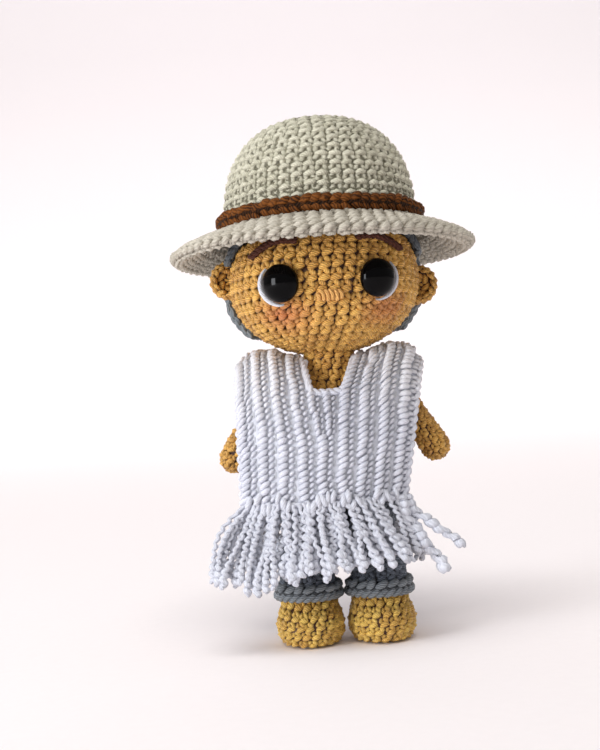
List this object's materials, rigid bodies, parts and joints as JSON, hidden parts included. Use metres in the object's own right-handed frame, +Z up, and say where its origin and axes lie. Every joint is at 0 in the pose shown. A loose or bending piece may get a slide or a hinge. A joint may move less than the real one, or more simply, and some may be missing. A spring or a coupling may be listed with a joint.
{
  "type": "crocheted doll",
  "caption": "Stuffed crocheted doll standing in trousers, a ribbed poncho with a fringe and a brimmed hat that lifts off, with a turning head and arms that swing at the shoulders.",
  "frame": {"origin": "centre of the bounding box at the level of the soles", "axes": "+Z up through the top of the hat, the doll faces -Y and its own left side is at +X"},
  "size_m": [0.101, 0.101, 0.1722],
  "materials": {
    "skin_yarn": "matte",
    "trouser_yarn": "matte",
    "hair_yarn": "matte",
    "poncho_yarn": "matte",
    "hat_yarn": "matte",
    "band_yarn": "matte",
    "brow_yarn": "matte",
    "eye_white_yarn": "matte",
    "eye_plastic": "gloss",
    "washer_plastic": "matte",
    "fibre_fill": "matte"
  },
  "bodies": {
    "doll": {"torso": "skin_yarn", "left_foot": "skin_yarn", "right_foot": "skin_yarn", "trousers": "trouser_yarn", "left_cuff": "trouser_yarn", "right_cuff": "trouser_yarn", "body_stuffing": "fibre_fill", "left_leg_stuffing": "fibre_fill", "right_leg_stuffing": "fibre_fill", "poncho_front": "poncho_yarn", "poncho_back": "poncho_yarn", "front_fringe": "poncho_yarn", "back_fringe": "poncho_yarn"},
    "left_arm": {"left_arm": "skin_yarn"},
    "right_arm": {"right_arm": "skin_yarn"},
    "head": {"head": "skin_yarn", "head_stuffing": "fibre_fill", "left_ear": "skin_yarn", "right_ear": "skin_yarn", "left_eye": "eye_plastic", "right_eye": "eye_plastic", "left_eye_washer": "washer_plastic", "right_eye_washer": "washer_plastic", "left_eye_white": "eye_white_yarn", "right_eye_white": "eye_white_yarn", "left_eyebrow": "brow_yarn", "right_eyebrow": "brow_yarn", "nose": "skin_yarn", "hair": "hair_yarn"},
    "hat": {"hat": "hat_yarn", "hat_band": "band_yarn"}
  },
  "joints": [
    {"name": "head_turn", "type": "hinge", "parent": "doll", "child": "head", "pos_m": [0, 0, 0.1173], "axis": [0, 0, 1], "range_deg": [-20, 20], "stiffness_Nm_per_rad": 0.05},
    {"name": "hat_lift", "type": "slide", "parent": "head", "child": "hat", "axis": [0, 0, 1], "range_m": [0, 0.065]},
    {"name": "left_arm_swing", "type": "hinge", "parent": "doll", "child": "left_arm", "pos_m": [0.01472, 0, 0.0856], "axis": [0, -1, 0], "range_deg": [-10, 35], "stiffness_Nm_per_rad": 0.01},
    {"name": "right_arm_swing", "type": "hinge", "parent": "doll", "child": "right_arm", "pos_m": [-0.01472, 0, 0.0856], "axis": [0, 1, 0], "range_deg": [-10, 35], "stiffness_Nm_per_rad": 0.01}
  ]
}
